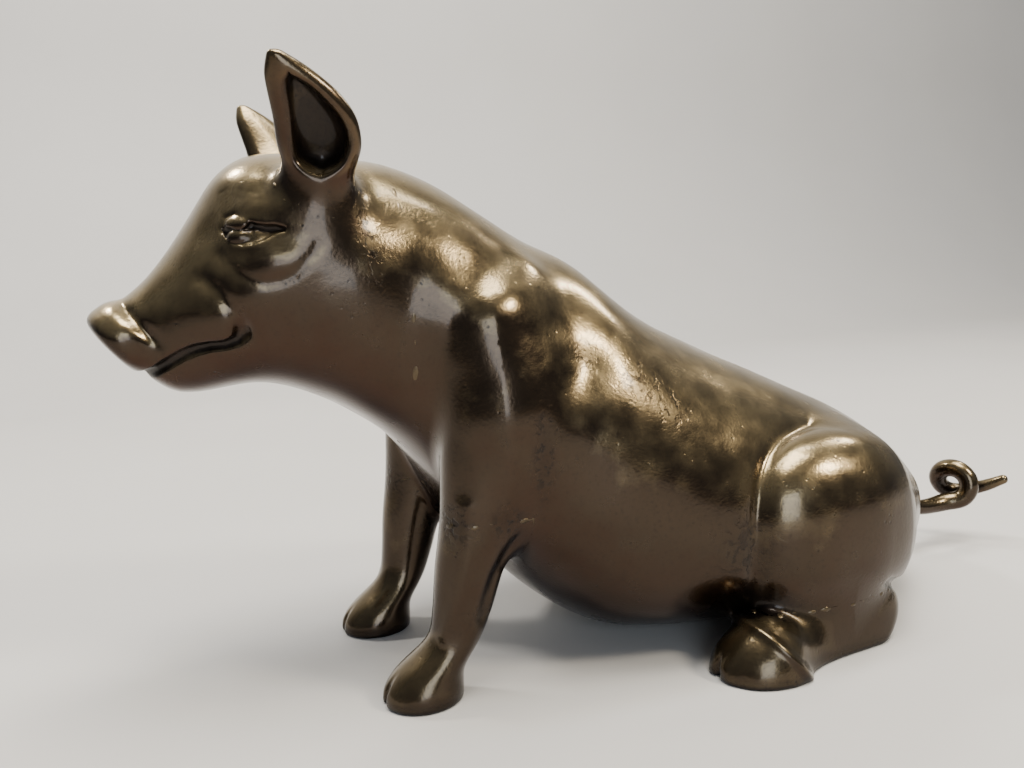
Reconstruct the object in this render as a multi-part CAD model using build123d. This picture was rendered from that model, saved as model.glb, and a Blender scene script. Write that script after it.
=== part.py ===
"""Seated pig figurine of hollow cast brass.

Separate castings are brazed together: a hollow body with both haunches, a hollow head on a neck spigot,
two ears, two forelegs, two hind legs and a curled tail of bent rod. A bead of braze filler goes round each joint.
X runs from tail to snout, Y to the pig's left and Z up, in millimetres. The origin lies on the ground under
the middle of the figure's length.
"""
import os
from math import copysign, cos, pi, radians, sin

from build123d import *

# Castings and their joints
wall = 3.5              # wall of the hollow castings
joint_gap = 0.15        # gap that the braze runs into between a casting and its pocket

# Body, from the neck joint back to the flat on the rump
neck_place = 67.0       # neck joint ahead of the origin
body_length = 155.0     # neck joint to rump flat
nape_height = 122.0     # ground to nape at the neck joint
body_width = 90.0       # across the belly
belly_fullness = 2.4    # 2 draws the lower half of a cross section as an ellipse, more draws it squarer
section_points = 16     # points on each cross section
# Stations from neck to rump: place along the body, then top, widest level and underside as shares of the
# nape height, then the width as a share of the body width
body_station_shares = [
    (0.000, 1.000, 0.754, 0.467, 0.600),
    (0.065, 0.971, 0.672, 0.344, 0.667),
    (0.129, 0.922, 0.574, 0.221, 0.756),
    (0.213, 0.850, 0.459, 0.107, 0.844),
    (0.310, 0.780, 0.344, 0.029, 0.933),
    (0.439, 0.660, 0.262, 0.012, 1.000),
    (0.581, 0.574, 0.238, 0.010, 1.000),
    (0.716, 0.494, 0.221, 0.012, 0.956),
    (0.845, 0.411, 0.213, 0.033, 0.800),
    (0.929, 0.328, 0.205, 0.066, 0.578),
    (0.974, 0.258, 0.184, 0.098, 0.356),
    (1.000, 0.213, 0.168, 0.123, 0.178),
]
hollow_stations = 10    # stations from the neck that the hollow reaches

# Head, from the neck joint forward to the snout
head_length = 64.7      # neck joint to the top rim of the snout
crown_height = 125.0    # ground to crown
head_width = 55.0       # across the jowls
# Stations from neck to snout: place along the head, then top, widest level and underside as shares of the
# crown height, then the width as a share of the head width
head_station_shares = [
    (0.108, 0.988, 0.752, 0.500, 1.000),
    (0.216, 0.996, 0.768, 0.540, 0.982),
    (0.340, 0.996, 0.784, 0.572, 0.927),
    (0.464, 0.986, 0.784, 0.592, 0.855),
    (0.587, 0.940, 0.768, 0.588, 0.727),
    (0.680, 0.876, 0.736, 0.582, 0.600),
    (0.773, 0.812, 0.704, 0.586, 0.491),
    (0.866, 0.766, 0.688, 0.600, 0.418),
    (0.958, 0.738, 0.680, 0.616, 0.393),
    (1.051, 0.720, 0.672, 0.624, 0.382),
]
hollow_head_stations = 7    # stations from the neck that the hollow reaches
spigot_length = 7.0     # of the head's spigot inside the neck
spigot_wall = 2.5
collar_length = 4.0     # of the band inside the head that carries the spigot

# Snout, mouth and eyes
snout_height = 91.2     # ground to the top rim of the snout
snout_tilt = 38.5       # degrees that the snout disc looks down
snout_disc_height = 18.4
snout_disc_width = 22.0
snout_disc_thickness = 3.0
nostril_bore = 4.2
nostril_depth = 3.5
nostril_spacing = 8.8
mouth_depth = 1.6       # of the slit below the skin
mouth_gap = 1.0         # height of the slit
mouth_line_shares = [(0.860, 0.630), (0.720, 0.644), (0.600, 0.656), (0.540, 0.672)]
eye_diameter = 7.0
eye_place_shares = (0.498, 0.685, 0.854)    # of head length, head width from the middle plane, crown height

# Ears, thin cups that lean outward
ear_length = 33.5
ear_width = 16.8
ear_depth = 10.0        # root, from back to mouth of the cup
ear_wall = 1.8
ear_cup_shift = 2.6     # cup set toward its mouth
ear_axis = (0.10, 0.42, 0.90)
ear_mouth = (0.30, 0.95, -0.12)             # way that the cup looks
ear_place_shares = (0.267, 0.676, 0.882)    # of head length, head width from the middle plane, crown height
ear_peg = 4.0
ear_peg_length = 4.0
ear_lug_length = 6.0    # thickening of the head behind each ear
# Stations from root to tip: place along the ear, shift of the middle, width and depth, as shares of each
ear_station_shares = [
    (0.00, 0.000, 0.714, 1.00),
    (0.27, 0.030, 0.881, 0.92),
    (0.48, 0.075, 1.000, 0.72),
    (0.68, 0.056, 0.881, 0.56),
    (0.87, -0.100, 0.500, 0.44),
    (1.00, -0.275, 0.110, 0.18),
]

# Forelegs, each one run of horizontal cross sections that the joint cuts into shoulder and leg
forefoot_ahead = 2.4    # hoof ahead of the neck joint
forefoot_spread = 46.0  # between the middles of the hooves
forehoof_length = 18.8
forehoof_width = 18.0
foreleg_rake = 24.4     # from hoof back to the middle of the shoulder
shoulder_height = 72.0
foreleg_joint_height = 41.0
leg_spigot = 6.0
leg_spigot_length = 8.0
# Stations from sole to shoulder: height, set back, set out, length and width, as shares of each
foreleg_station_shares = [
    (0.000, 0.000, 1.000, 0.979, 0.978),
    (0.042, 0.008, 1.000, 1.000, 1.000),
    (0.097, 0.074, 1.000, 0.851, 0.889),
    (0.181, 0.320, 1.020, 0.670, 0.720),
    (0.278, 0.420, 1.043, 0.745, 0.720),
    (0.417, 0.540, 1.065, 0.860, 0.810),
    (0.583, 0.754, 1.087, 1.043, 0.978),
    (0.790, 0.877, 1.087, 1.300, 1.111),
    (0.930, 1.000, 1.130, 1.170, 1.050),
    (1.160, 1.180, 0.913, 0.850, 0.840),
]
cleft_width = 1.2       # of the split in each hoof
cleft_depth = 2.2
cleft_height = 6.0

# Haunches, bulges on the body that rest on the hind legs
haunch_diameter = 50.0
haunch_thickness = 34.0
haunch_place_shares = (0.626, 0.400, 0.242)     # of body length, body width, nape height

# Hind legs, lying on the ground
hind_leg_length = 52.0
hind_hoof_width = 19.6
hind_joint_height = 12.5
hind_toe_ahead = 33.0   # toe ahead of the middle of the haunch
hind_foot_out = 11.5    # hoof outside the middle of the haunch
hind_spigot_out = 7.0   # spigot outside the middle of the haunch
hind_lug = 11.0         # thickening of the haunch round the spigot
coronet_width = 3.0     # band above the hoof
coronet_height = 0.8
coronet_place_share = 0.315     # of the hind leg's length
# Stations from toe to heel: place along the leg, shift outward, height and width, as shares of each
hind_leg_station_shares = [
    (0.000, -0.051, 0.240, 0.306),
    (0.029, -0.036, 0.560, 0.673),
    (0.116, 0.000, 0.840, 0.918),
    (0.212, 0.015, 0.960, 1.000),
    (0.289, 0.015, 0.970, 0.980),
    (0.347, 0.000, 1.050, 0.900),
    (0.600, -0.160, 1.360, 1.170),
    (0.830, -0.220, 1.360, 1.120),
    (0.925, -0.240, 1.200, 0.950),
    (0.980, -0.260, 0.840, 0.650),
    (1.000, -0.270, 0.360, 0.300),
]

# Tail, a bent rod with one turn
tail_rod = 5.2
tail_tenon = 5.0        # let into the rump
tail_lead = 30.0        # rump to the middle of the turn
tail_drop = 1.0         # middle of the turn below the root
tail_turn = 10.0        # diameter of the turn along the middle of the rod
tail_pitch = 9.0
tail_turn_points = 12
tail_axis = (-0.80, -0.58, 0.15)
tail_side = (-0.58, 0.80, 0.00)
tail_lead_shares = [(0.17, 0.007, 0.10), (0.43, 0.033, 0.22)]
tail_run_out = 6.0      # rod after the turn
tail_run_rise = 0.8
tail_tip_length = 10.5
tail_tip = 1.8          # diameter of the rounded end

# Braze filler
bead_height = 0.8       # above the castings
bead_width = 2.4
ear_bead = 1.4          # width round the root of an ear
tail_bead = 1.6         # width round the root of the tail


def along_body(share):
    """X of a place given as a share of the body, from neck to rump."""
    return neck_place - body_length * share


def along_head(share):
    """X of a place given as a share of the head, from neck to snout."""
    return neck_place + head_length * share


def body_station(shares):
    """Place, top, widest level, underside and half width of a cross section of the body."""
    along, top, widest, bottom, width = shares
    return along_body(along), nape_height * top, nape_height * widest, nape_height * bottom, body_width * width / 2


def head_station(shares):
    """Place, top, widest level, underside and half width of a cross section of the head."""
    along, top, widest, bottom, width = shares
    return along_head(along), crown_height * top, crown_height * widest, crown_height * bottom, head_width * width / 2


def trunk_section(station, inset):
    """Upright cross section of body or head, drawn in by the inset all round."""
    x, top, widest, bottom, half_width = station
    points = []
    for step in range(section_points):
        across = cos(2 * pi * step / section_points)
        up = sin(2 * pi * step / section_points)
        reach = top - widest if up > 0 else widest - bottom
        power = 1 if up > 0 else 2 / belly_fullness
        y = (half_width - inset) * copysign(abs(across) ** power, across)
        z = widest + (reach - inset) * copysign(abs(up) ** power, up)
        points.append((x, y, z))
    return make_face(Spline(*points, periodic=True))


body_stations = [body_station(shares) for shares in body_station_shares]
head_stations = [head_station(shares) for shares in head_station_shares]


def trunk(inset=0):
    """Body and head as one smooth form from rump to snout."""
    return loft([trunk_section(station, inset) for station in body_stations[::-1] + head_stations])


def hollow_trunk(inset):
    """The same form without the ends, which stay solid at rump and snout."""
    inner = body_stations[:hollow_stations][::-1] + head_stations[:hollow_head_stations]
    return loft([trunk_section(station, inset) for station in inner])


def behind_neck(shape, ahead=0):
    """What lies behind the neck joint, or behind a plane ahead of it."""
    return split(shape, bisect_by=Plane.YZ.offset(neck_place + ahead), keep=Keep.BOTTOM)


def before_neck(shape, ahead=0):
    """What lies before the neck joint, or before a plane ahead of it."""
    return split(shape, bisect_by=Plane.YZ.offset(neck_place + ahead), keep=Keep.TOP)


def neck_slice(shape, behind, ahead):
    """Slice of a shape from behind to ahead of the neck joint."""
    return behind_neck(before_neck(shape, -behind), ahead)


def above(shape, height):
    return split(shape, bisect_by=Plane.XY.offset(height), keep=Keep.TOP)


def below(shape, height):
    return split(shape, bisect_by=Plane.XY.offset(height), keep=Keep.BOTTOM)


def level_slice(shape, height, thickness):
    """Flat slice of a shape with its middle at a height."""
    return below(above(shape, height - thickness / 2), height + thickness / 2)


def both_sides(shape):
    """The left shape and its mirror image on the right."""
    return shape + mirror(shape, about=Plane.XZ)


def haunch(grow=0):
    """Spheroid of the left haunch, larger by grow all round."""
    along, out, up = haunch_place_shares
    half_thickness = haunch_thickness / 2 + grow
    radius = haunch_diameter / 2 + grow
    bulge = scale(Rot(0, 90, 0) * Sphere(radius), by=(1, half_thickness / radius, 1))
    return Pos(along_body(along), body_width * out, nape_height * up) * bulge


def foreleg(grow=0):
    """Left foreleg from sole to shoulder, thicker by grow all round."""
    sections = []
    for height, back, out, length, width in foreleg_station_shares:
        x = neck_place + forefoot_ahead - foreleg_rake * back
        y = forefoot_spread / 2 * out
        outline = Ellipse(forehoof_length / 2 * length + grow, forehoof_width / 2 * width + grow)
        sections.append(Pos(x, y, shoulder_height * height) * outline)
    return loft(sections)


def foreleg_axis():
    """Where the left foreleg's spigot stands on the joint."""
    ends = zip(foreleg_station_shares, foreleg_station_shares[1:])
    joint_share = foreleg_joint_height / shoulder_height
    for low, high in ends:
        if low[0] <= joint_share <= high[0]:
            blend = (joint_share - low[0]) / (high[0] - low[0])
            back = low[1] + blend * (high[1] - low[1])
            out = low[2] + blend * (high[2] - low[2])
    return neck_place + forefoot_ahead - foreleg_rake * back, forefoot_spread / 2 * out


def hind_leg(grow=0):
    """Left hind leg from toe to heel on the ground, thicker by grow."""
    along_share, out_share, up_share = haunch_place_shares
    toe = along_body(along_share) + hind_toe_ahead
    hoof_out = body_width * out_share + hind_foot_out
    sections = []
    for along, out, height, width in hind_leg_station_shares:
        half_width = hind_hoof_width / 2 * width + grow
        arch = EllipticalCenterArc(
            (0, 0), half_width, hind_joint_height * height + grow, start_angle=0, arc_size=180
        )
        face = make_face(arch + Line(arch @ 1, arch @ 0))
        place = Plane((toe - hind_leg_length * along, hoof_out + hind_hoof_width * out, 0), (0, 1, 0), (1, 0, 0))
        sections.append(place * face)
    return loft(sections)


def hind_spigot_place():
    along, out, up = haunch_place_shares
    return along_body(along), body_width * out + hind_spigot_out


def upright_pin(place, diameter, low, high):
    """Upright cylinder between two heights."""
    x, y = place
    return Pos(x, y, low) * Cylinder(diameter / 2, high - low, align=(Align.CENTER, Align.CENTER, Align.MIN))


ear_root = Plane(
    (along_head(ear_place_shares[0]), head_width / 2 * ear_place_shares[1], crown_height * ear_place_shares[2]),
    x_dir=Vector(*ear_mouth).cross(Vector(*ear_axis)),
    z_dir=ear_axis,
)


def ear_form(grow=0, stations=ear_station_shares, shift=0):
    """Left ear from root to tip, thicker by grow, set toward its mouth by shift."""
    sections = []
    for along, aside, width, depth in stations:
        outline = Ellipse(ear_width / 2 * width + grow, ear_depth / 2 * depth + max(grow, 0))
        sections.append(ear_root * Pos(-ear_width * aside, shift, ear_length * along) * outline)
    return loft(sections)


def ear_pin(diameter, length):
    """Cylinder from the root of the left ear into the head."""
    pin = Cylinder(diameter / 2, length, align=(Align.CENTER, Align.CENTER, Align.MAX))
    return ear_root * pin


def tail_path():
    """Middle line of the tail from the rump flat to the start of its tip."""
    rump_top, rump_bottom = body_stations[-1][1], body_stations[-1][3]
    root = Vector(along_body(1), 0, (rump_top + rump_bottom) / 2)
    points = [root]
    for back, out, down in tail_lead_shares:
        points.append(root + Vector(-back, out, -down) * tail_lead)
    axis = Vector(*tail_axis).normalized()
    side = Vector(*tail_side).normalized()
    up = axis.cross(side)
    up = up * copysign(1, up.Z)
    middle = root + Vector(-tail_lead, 0, -tail_drop)
    for step in range(tail_turn_points + 1):
        turned = step / tail_turn_points
        angle = 2 * pi * turned
        ring = side * sin(angle) - up * cos(angle)
        points.append(middle + ring * (tail_turn / 2) + axis * (tail_pitch * turned - tail_pitch / 2))
    run_out = side * tail_run_out + up * tail_run_rise
    points.append(points[-1] + run_out)
    return Spline(*points, tangents=[(-1, 0, 0), run_out.normalized()])


# Body casting
trunk_solid = trunk()
trunk_hollow = hollow_trunk(wall)
trunk_mid_wall = hollow_trunk(wall / 2)
trunk_skin = trunk(-joint_gap)
body_solid = behind_neck(trunk_solid)
left_haunch = haunch()
rump_flat = tail_path() @ 0

shoulder = above(foreleg(), foreleg_joint_height)
foreleg_spigot_place = foreleg_axis()
leg_form = below(foreleg(), foreleg_joint_height)
leg_pocket = below(foreleg(joint_gap), foreleg_joint_height)

haunch_lug = upright_pin(hind_spigot_place(), hind_lug, hind_joint_height, hind_joint_height + leg_spigot_length + wall)
haunch_lug = haunch_lug & haunch(-wall / 2)

body_shell = body_solid + both_sides(above(left_haunch, hind_joint_height))
body_shell -= behind_neck(trunk_hollow)
body_shell -= both_sides(above(haunch(-wall), hind_joint_height + wall))
body_shell += both_sides(shoulder)
body_shell += both_sides(haunch_lug)
body_shell -= both_sides(leg_pocket)
foreleg_socket = upright_pin(
    foreleg_spigot_place,
    leg_spigot + 2 * joint_gap,
    foreleg_joint_height,
    foreleg_joint_height + leg_spigot_length + joint_gap,
)
hind_socket = upright_pin(
    hind_spigot_place(),
    leg_spigot + 2 * joint_gap,
    hind_joint_height,
    hind_joint_height + leg_spigot_length + joint_gap,
)
body_shell -= both_sides(foreleg_socket)
body_shell -= both_sides(hind_socket)
tail_socket = Pos(rump_flat) * Rot(0, 90, 0) * Cylinder(
    tail_rod / 2 + joint_gap, tail_tenon + joint_gap, align=(Align.CENTER, Align.CENTER, Align.MIN)
)
body_shell -= tail_socket

# Head casting with its spigot, cut off at the snout, and the disc with the nostrils
snout_top = Vector(along_head(1), 0, snout_height)
snout_normal = Vector(cos(radians(snout_tilt)), 0, -sin(radians(snout_tilt)))
snout_down = Vector(-sin(radians(snout_tilt)), 0, -cos(radians(snout_tilt)))
snout_middle = snout_top + snout_down * (snout_disc_height / 2)
snout_plane = Plane(snout_middle, x_dir=(0, 1, 0), z_dir=snout_normal)
head_solid = split(before_neck(trunk_solid), bisect_by=snout_plane, keep=Keep.BOTTOM)
snout_disc = extrude(Ellipse(snout_disc_width / 2, snout_disc_height / 2), -snout_disc_thickness)
nostril = Cylinder(nostril_bore / 2, nostril_depth, align=(Align.CENTER, Align.CENTER, Align.MAX))
eye_along, eye_out, eye_up = eye_place_shares
eye = Pos(along_head(eye_along), head_width / 2 * eye_out, crown_height * eye_up) * Sphere(eye_diameter / 2)
mouth_points = [(along_head(along), 0, crown_height * up) for along, up in mouth_line_shares]
mouth_line = Spline(*mouth_points)
mouth_start = Plane(mouth_line @ 0, x_dir=(0, 1, 0), z_dir=mouth_line % 0)
mouth_slit = sweep(mouth_start * Rectangle(head_width, mouth_gap), path=mouth_line)
ear_lug = ear_pin(ear_depth + 2 * wall, ear_lug_length) & trunk_mid_wall
spigot_bore = hollow_trunk(wall + joint_gap + spigot_wall)
spigot = neck_slice(hollow_trunk(wall + joint_gap), spigot_length, 0)
spigot -= neck_slice(spigot_bore, spigot_length, 0)
collar = neck_slice(trunk_mid_wall, 0, collar_length)
collar -= neck_slice(spigot_bore, 0, collar_length)

head_shell = head_solid + snout_plane * snout_disc + both_sides(eye)
head_shell -= before_neck(trunk_hollow)
head_shell += both_sides(ear_lug) + collar + spigot
head_shell -= mouth_slit - trunk(mouth_depth)
for side in (-1, 1):
    head_shell -= snout_plane * Pos(side * nostril_spacing / 2, 0, 0) * nostril
head_shell -= both_sides(ear_form(joint_gap))
head_shell -= both_sides(ear_pin(ear_peg + 2 * joint_gap, ear_peg_length + joint_gap))

# Ears, hollowed toward their mouths
ear_cup = ear_form(-ear_wall, ear_station_shares[1:-1], ear_cup_shift)
ear = ear_form() - ear_cup + ear_pin(ear_peg, ear_peg_length)
ear_braze = (ear_form(ear_bead) - ear_form(joint_gap)) & trunk(-ear_bead)
ear_braze -= trunk_skin

# Forelegs with a split in the hoof
hoof_front = neck_place + forefoot_ahead + forehoof_length / 2
cleft = Box(2 * cleft_depth, cleft_width, 2 * cleft_height)
foreleg_piece = leg_form + upright_pin(
    foreleg_spigot_place, leg_spigot, foreleg_joint_height, foreleg_joint_height + leg_spigot_length
)
foreleg_piece -= Pos(hoof_front, forefoot_spread / 2, 0) * cleft
foreleg_braze = level_slice(foreleg(bead_height), foreleg_joint_height, bead_width)
foreleg_braze -= level_slice(foreleg(joint_gap), foreleg_joint_height, bead_width)
foreleg_braze -= trunk_skin

# Hind legs with coronet band, cut to the flat under the haunch and to the side of the belly
hind_toe = along_body(haunch_place_shares[0]) + hind_toe_ahead
hind_hoof_out = body_width * haunch_place_shares[1] + hind_foot_out
coronet_place = hind_toe - hind_leg_length * coronet_place_share
coronet = split(hind_leg(coronet_height), Plane.YZ.offset(coronet_place + coronet_width / 2), keep=Keep.BOTTOM)
coronet = split(coronet, Plane.YZ.offset(coronet_place - coronet_width / 2), keep=Keep.TOP)
hind_leg_piece = below(hind_leg() + coronet, hind_joint_height) - trunk_skin
hind_leg_piece += upright_pin(
    hind_spigot_place(), leg_spigot, hind_joint_height, hind_joint_height + leg_spigot_length
)
hind_leg_piece -= Pos(hind_toe, hind_hoof_out, 0) * cleft
hind_bead_middle = hind_joint_height + bead_width / 2
hind_leg_braze = level_slice(haunch(bead_height), hind_bead_middle, bead_width)
hind_leg_braze -= level_slice(haunch(joint_gap), hind_bead_middle, bead_width)
hind_leg_braze -= trunk_skin

# Neck filler round the joint
neck_braze = neck_slice(trunk(-bead_height), bead_width / 2, bead_width / 2)
neck_braze -= neck_slice(trunk_skin, bead_width / 2, bead_width / 2)

# Tail with its tenon and tapered tip
path = tail_path()
tail = sweep(Plane(path @ 0, z_dir=path % 0) * Circle(tail_rod / 2), path=path)
tail += Plane(path @ 1, z_dir=path % 1) * Cone(
    tail_rod / 2, tail_tip / 2, tail_tip_length, align=(Align.CENTER, Align.CENTER, Align.MIN)
)
tail += Pos(path @ 1 + (path % 1) * tail_tip_length) * Sphere(tail_tip / 2)
tail += Pos(path @ 0) * Rot(0, 90, 0) * Cylinder(
    tail_rod / 2, tail_tenon, align=(Align.CENTER, Align.CENTER, Align.MIN)
)
tail_braze = Pos(path @ 0) * Rot(0, -90, 0) * Cone(
    tail_rod / 2 + tail_bead, tail_rod / 2 + joint_gap, tail_bead, align=(Align.CENTER, Align.CENTER, Align.MIN)
)
tail_braze -= tail

parts = {
    "body_shell": body_shell,
    "head_shell": head_shell,
    "neck_braze": neck_braze,
    "tail": tail,
    "tail_braze": tail_braze,
}
pairs = {
    "ear_{}": ear,
    "ear_{}_braze": ear_braze,
    "foreleg_{}": foreleg_piece,
    "foreleg_{}_braze": foreleg_braze,
    "hind_leg_{}": hind_leg_piece,
    "hind_leg_{}_braze": hind_leg_braze,
}
for pattern, shape in pairs.items():
    parts[pattern.format("left")] = shape
    parts[pattern.format("right")] = mirror(shape, about=Plane.XZ)

os.makedirs("parts", exist_ok=True)
for name, shape in parts.items():
    export_step(shape, os.path.join("parts", name + ".step"))
    print(name, len(shape.solids()), round(shape.volume, 1))
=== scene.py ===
"""Seated pig figurine of cast brass: separate castings brazed together, patinated brown and waxed."""

import bpy
import numpy as np
import openvdb
from mathutils import Matrix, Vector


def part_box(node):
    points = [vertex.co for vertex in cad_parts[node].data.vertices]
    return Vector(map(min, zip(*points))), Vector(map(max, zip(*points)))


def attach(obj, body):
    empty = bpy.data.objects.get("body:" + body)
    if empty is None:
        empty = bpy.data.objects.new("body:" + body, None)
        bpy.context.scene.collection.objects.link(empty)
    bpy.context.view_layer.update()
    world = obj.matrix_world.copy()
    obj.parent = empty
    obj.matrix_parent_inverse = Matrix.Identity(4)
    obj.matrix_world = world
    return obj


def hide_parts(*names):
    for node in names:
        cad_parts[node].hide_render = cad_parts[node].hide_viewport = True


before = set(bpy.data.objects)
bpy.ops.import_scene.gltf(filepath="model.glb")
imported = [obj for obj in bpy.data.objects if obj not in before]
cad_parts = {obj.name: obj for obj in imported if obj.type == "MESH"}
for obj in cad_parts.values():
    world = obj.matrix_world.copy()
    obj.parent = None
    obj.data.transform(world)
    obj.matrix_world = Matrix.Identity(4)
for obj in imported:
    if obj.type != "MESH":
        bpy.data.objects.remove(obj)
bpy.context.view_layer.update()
mm = 0.001


# Body
# A hollow brass casting from the neck joint to the rump, with both shoulders and both haunches in one piece.
# It is cast, filed smooth, patinated brown and waxed, and everything else is brazed on to it.
def box_of(node):
    """Lowest and highest corner of a node of the frame, in millimetres."""
    return [np.array(corner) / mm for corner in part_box(node)]


body_low, body_high = box_of("body_shell")
head_low, head_high = box_of("head_shell")
hind_low, hind_high = box_of("hind_leg_left")
neck, nape = body_high[0], body_high[2]
body_length = neck - body_low[0]
belly_share = 0.849
belly = (body_high[1] - body_low[1]) / 2 * belly_share
leg_front = box_of("foreleg_left")[1][0]
leg_joint = np.mean(box_of("foreleg_left_braze"), axis=0)[2]
hind_joint = box_of("hind_leg_left_braze")[0][2]

# Line of the back from neck to rump: place along the body, height as a share of the nape
back_line = [
    (0.000, 1.003), (0.072, 0.968), (0.135, 0.918), (0.201, 0.862), (0.235, 0.838), (0.270, 0.820),
    (0.305, 0.793), (0.341, 0.753), (0.377, 0.714), (0.415, 0.680), (0.454, 0.651), (0.534, 0.600),
    (0.618, 0.552), (0.716, 0.494), (0.797, 0.447), (0.845, 0.411), (0.895, 0.366), (0.929, 0.328),
    (0.974, 0.258), (1.000, 0.213),
]
# Cross sections: place along the body, widest level and underside as shares of the nape, width as a share
body_sides = [
    (0.000, 0.754, 0.467, 0.600), (0.065, 0.672, 0.344, 0.667), (0.129, 0.574, 0.221, 0.756),
    (0.213, 0.459, 0.107, 0.844), (0.310, 0.344, 0.029, 0.933), (0.439, 0.262, 0.012, 1.000),
    (0.581, 0.238, 0.010, 1.000), (0.716, 0.221, 0.012, 0.956), (0.845, 0.213, 0.033, 0.800),
    (0.929, 0.205, 0.066, 0.578), (0.974, 0.184, 0.098, 0.356), (1.000, 0.168, 0.123, 0.178),
]
# The head goes on from the neck to the snout: place along the head, top, widest level and underside as
# shares of the crown, width as a share
crown = head_high[2]
head_share, jowl_share = 0.985, 0.611
head_length = (head_high[0] - neck) * head_share
jowl = belly * jowl_share
head_sections = [
    (0.108, 0.988, 0.752, 0.500, 1.000), (0.216, 0.996, 0.768, 0.540, 0.982),
    (0.340, 0.996, 0.784, 0.572, 0.927), (0.464, 0.986, 0.784, 0.592, 0.855),
    (0.587, 0.940, 0.768, 0.588, 0.727), (0.680, 0.876, 0.736, 0.582, 0.600),
    (0.773, 0.812, 0.704, 0.586, 0.491), (0.866, 0.766, 0.688, 0.600, 0.418),
    (0.958, 0.738, 0.680, 0.616, 0.393), (1.051, 0.720, 0.672, 0.624, 0.382),
]


def fair(places, values, blur):
    """Closely spaced points on a fair curve through a table of places and values."""
    table = np.array([places, values], float).T[np.argsort(places)]
    table = np.vstack([2 * table[:1] - table[1:2], table, 2 * table[-1:] - table[-2:-1]])
    t = np.linspace(0, 1, 16, endpoint=False)[:, None]
    line = [table[-2:-1]]
    for a, b, c, d in zip(table[:-3], table[1:-2], table[2:-1], table[3:]):
        line.append(b + 0.5 * t * (c - a + t * (2 * a - 5 * b + 4 * c - d + t * (3 * b - 3 * c + d - a))))
    line = np.vstack(line)
    line = line[np.argsort(line[:, 0])]
    spacing = 0.25
    steps = np.arange(min(places) - 6 * blur, max(places) + 6 * blur, spacing)
    curve = np.interp(steps, line[:, 0], line[:, 1])
    reach = np.arange(-4 * blur, 4 * blur + spacing, spacing)
    weights = np.exp(-0.5 * (reach / blur) ** 2)
    padded = np.pad(curve, len(reach) // 2, mode="edge")
    return steps, np.convolve(padded, weights / weights.sum(), mode="valid")[: len(steps)]


def lookup(curve, places):
    """Values of a fair curve at places."""
    return np.interp(places, curve[0], curve[1])


head_x = [neck + head_length * row[0] for row in head_sections]
sides_x = [neck - body_length * row[0] for row in body_sides] + head_x
trunk_top = fair(
    [neck - body_length * along for along, height in back_line] + head_x,
    [nape * height for along, height in back_line] + [crown * row[1] for row in head_sections], 2.2)
trunk_middle = fair(
    sides_x, [nape * row[1] for row in body_sides] + [crown * row[2] for row in head_sections], 4)
trunk_bottom = fair(
    sides_x, [nape * row[2] for row in body_sides] + [crown * row[3] for row in head_sections], 3)
trunk_width = fair(
    sides_x, [belly * row[3] for row in body_sides] + [jowl * row[4] for row in head_sections], 3)


def trunk(p):
    """Distance from the skin of body and head, drawn as pear-shaped cross sections."""
    top, middle = lookup(trunk_top, p[:, 0]), lookup(trunk_middle, p[:, 0])
    bottom, width = lookup(trunk_bottom, p[:, 0]), lookup(trunk_width, p[:, 0])
    up = p[:, 2] - middle
    upper = 0.5 + 0.5 * np.tanh(up / 8)
    height = (middle - bottom) + upper * (top + bottom - 2 * middle)
    power = 2.4 - 0.4 * upper
    across, rise = np.abs(p[:, 1]) / width + 1e-9, np.abs(up) / height + 1e-9
    ring = (across ** power + rise ** power) ** (1 / power)
    slope = np.hypot(across ** (power - 1) / width, rise ** (power - 1) / height) / ring ** (power - 1)
    return np.maximum((ring - 1) / slope, -20)


def join(a, b, round_off):
    """Two forms in one, with a rounded corner between them."""
    share = np.clip(0.5 + 0.5 * (b - a) / round_off, 0, 1)
    return b + (a - b) * share - round_off * share * (1 - share)


def trim(a, b, round_off):
    """What two forms have in common, with a rounded edge."""
    return -join(-a, -b, round_off)


# Foreleg from sole to shoulder: height, set back, set outward and half sizes of its sections, as shares
hoof_length, leg_lean, stance = 18.8, 24.4, 23.0
hoof_width_share, joint_share, leg_top_share = 0.957, 0.569, 1.16
leg_rows = [
    (0.000, 0.000, 1.000, 0.979, 0.978), (0.042, 0.008, 1.000, 1.000, 1.000),
    (0.097, 0.074, 1.000, 0.851, 0.889), (0.181, 0.320, 1.020, 0.670, 0.720),
    (0.278, 0.420, 1.043, 0.745, 0.720), (0.417, 0.515, 1.065, 0.880, 0.810),
    (0.583, 0.670, 1.087, 1.080, 0.978), (0.790, 0.780, 1.087, 1.250, 1.111),
    (0.930, 0.800, 1.110, 1.150, 1.050), (leg_top_share, 0.780, 0.913, 0.850, 0.840),
]
hoof_width = hoof_length * hoof_width_share
shoulder = leg_joint / joint_share
leg_z = [shoulder * row[0] for row in leg_rows]
leg_x = fair(leg_z, [leg_front - hoof_length / 2 - leg_lean * row[1] for row in leg_rows], 1.5)
leg_y = fair(leg_z, [stance * row[2] for row in leg_rows], 1.5)
leg_long = fair(leg_z, [hoof_length / 2 * row[3] for row in leg_rows], 1.5)
leg_wide = fair(leg_z, [hoof_width / 2 * row[4] for row in leg_rows], 1.5)


def foreleg(p):
    """Distance from the skin of leg and shoulder."""
    long, wide = lookup(leg_long, p[:, 2]), lookup(leg_wide, p[:, 2])
    ahead = (p[:, 0] - lookup(leg_x, p[:, 2])) / long
    aside = (np.abs(p[:, 1]) - lookup(leg_y, p[:, 2])) / wide
    ring = np.hypot(ahead, aside) + 1e-9
    slope = np.hypot(ahead / long, aside / wide) / ring
    return trim((ring - 1) / slope, p[:, 2] - leg_top_share * shoulder, 6)


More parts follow.
